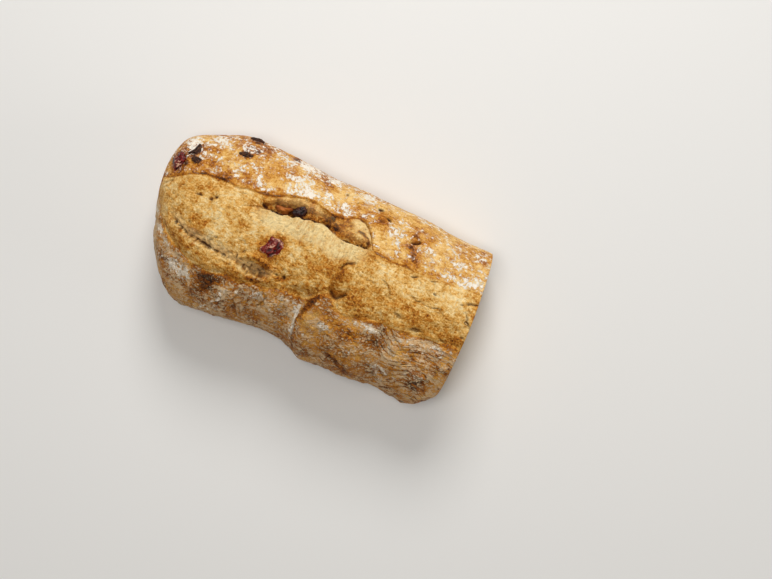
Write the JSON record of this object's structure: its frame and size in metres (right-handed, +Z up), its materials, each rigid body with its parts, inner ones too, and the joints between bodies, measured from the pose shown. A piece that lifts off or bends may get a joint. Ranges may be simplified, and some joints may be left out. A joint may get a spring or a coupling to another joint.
{
  "type": "part loaf of fruit and nut bread",
  "caption": "Floured, split-topped loaf of fruit and nut bread, round at one end and cut flat at the other, with dried fruit and nuts showing in the crust and the cut face.",
  "frame": {"origin": "middle of the loaf's footprint, on the surface that it rests on", "axes": "+X along the loaf towards its cut end, +Y across it towards the floured side above the deep split, +Z up"},
  "size_m": [0.1831, 0.1041, 0.0608],
  "materials": {
    "crust": "matte, floured baked crust",
    "cranberry": "moist dried berry",
    "raisin": "dark, satin, wrinkled",
    "nut": "cut nut, satin"
  },
  "bodies": {
    "root": {"loaf": "crust", "cranberry_top": "cranberry", "cranberry_crack": "cranberry", "nut_crack": "nut", "cranberry_end": "cranberry", "raisin_end": "raisin", "raisin_end_small": "raisin", "raisin_flank": "raisin", "raisin_side": "raisin", "cut_cranberry_bent": "cranberry", "cut_cranberry_long": "cranberry", "cut_cranberry_wavy": "cranberry", "cut_cranberry_low": "cranberry", "cut_raisin_far": "raisin", "cut_raisin_near": "raisin", "cut_hazelnut": "nut", "cut_blanched_nut": "nut", "cut_almond": "nut"}
  },
  "joints": []
}
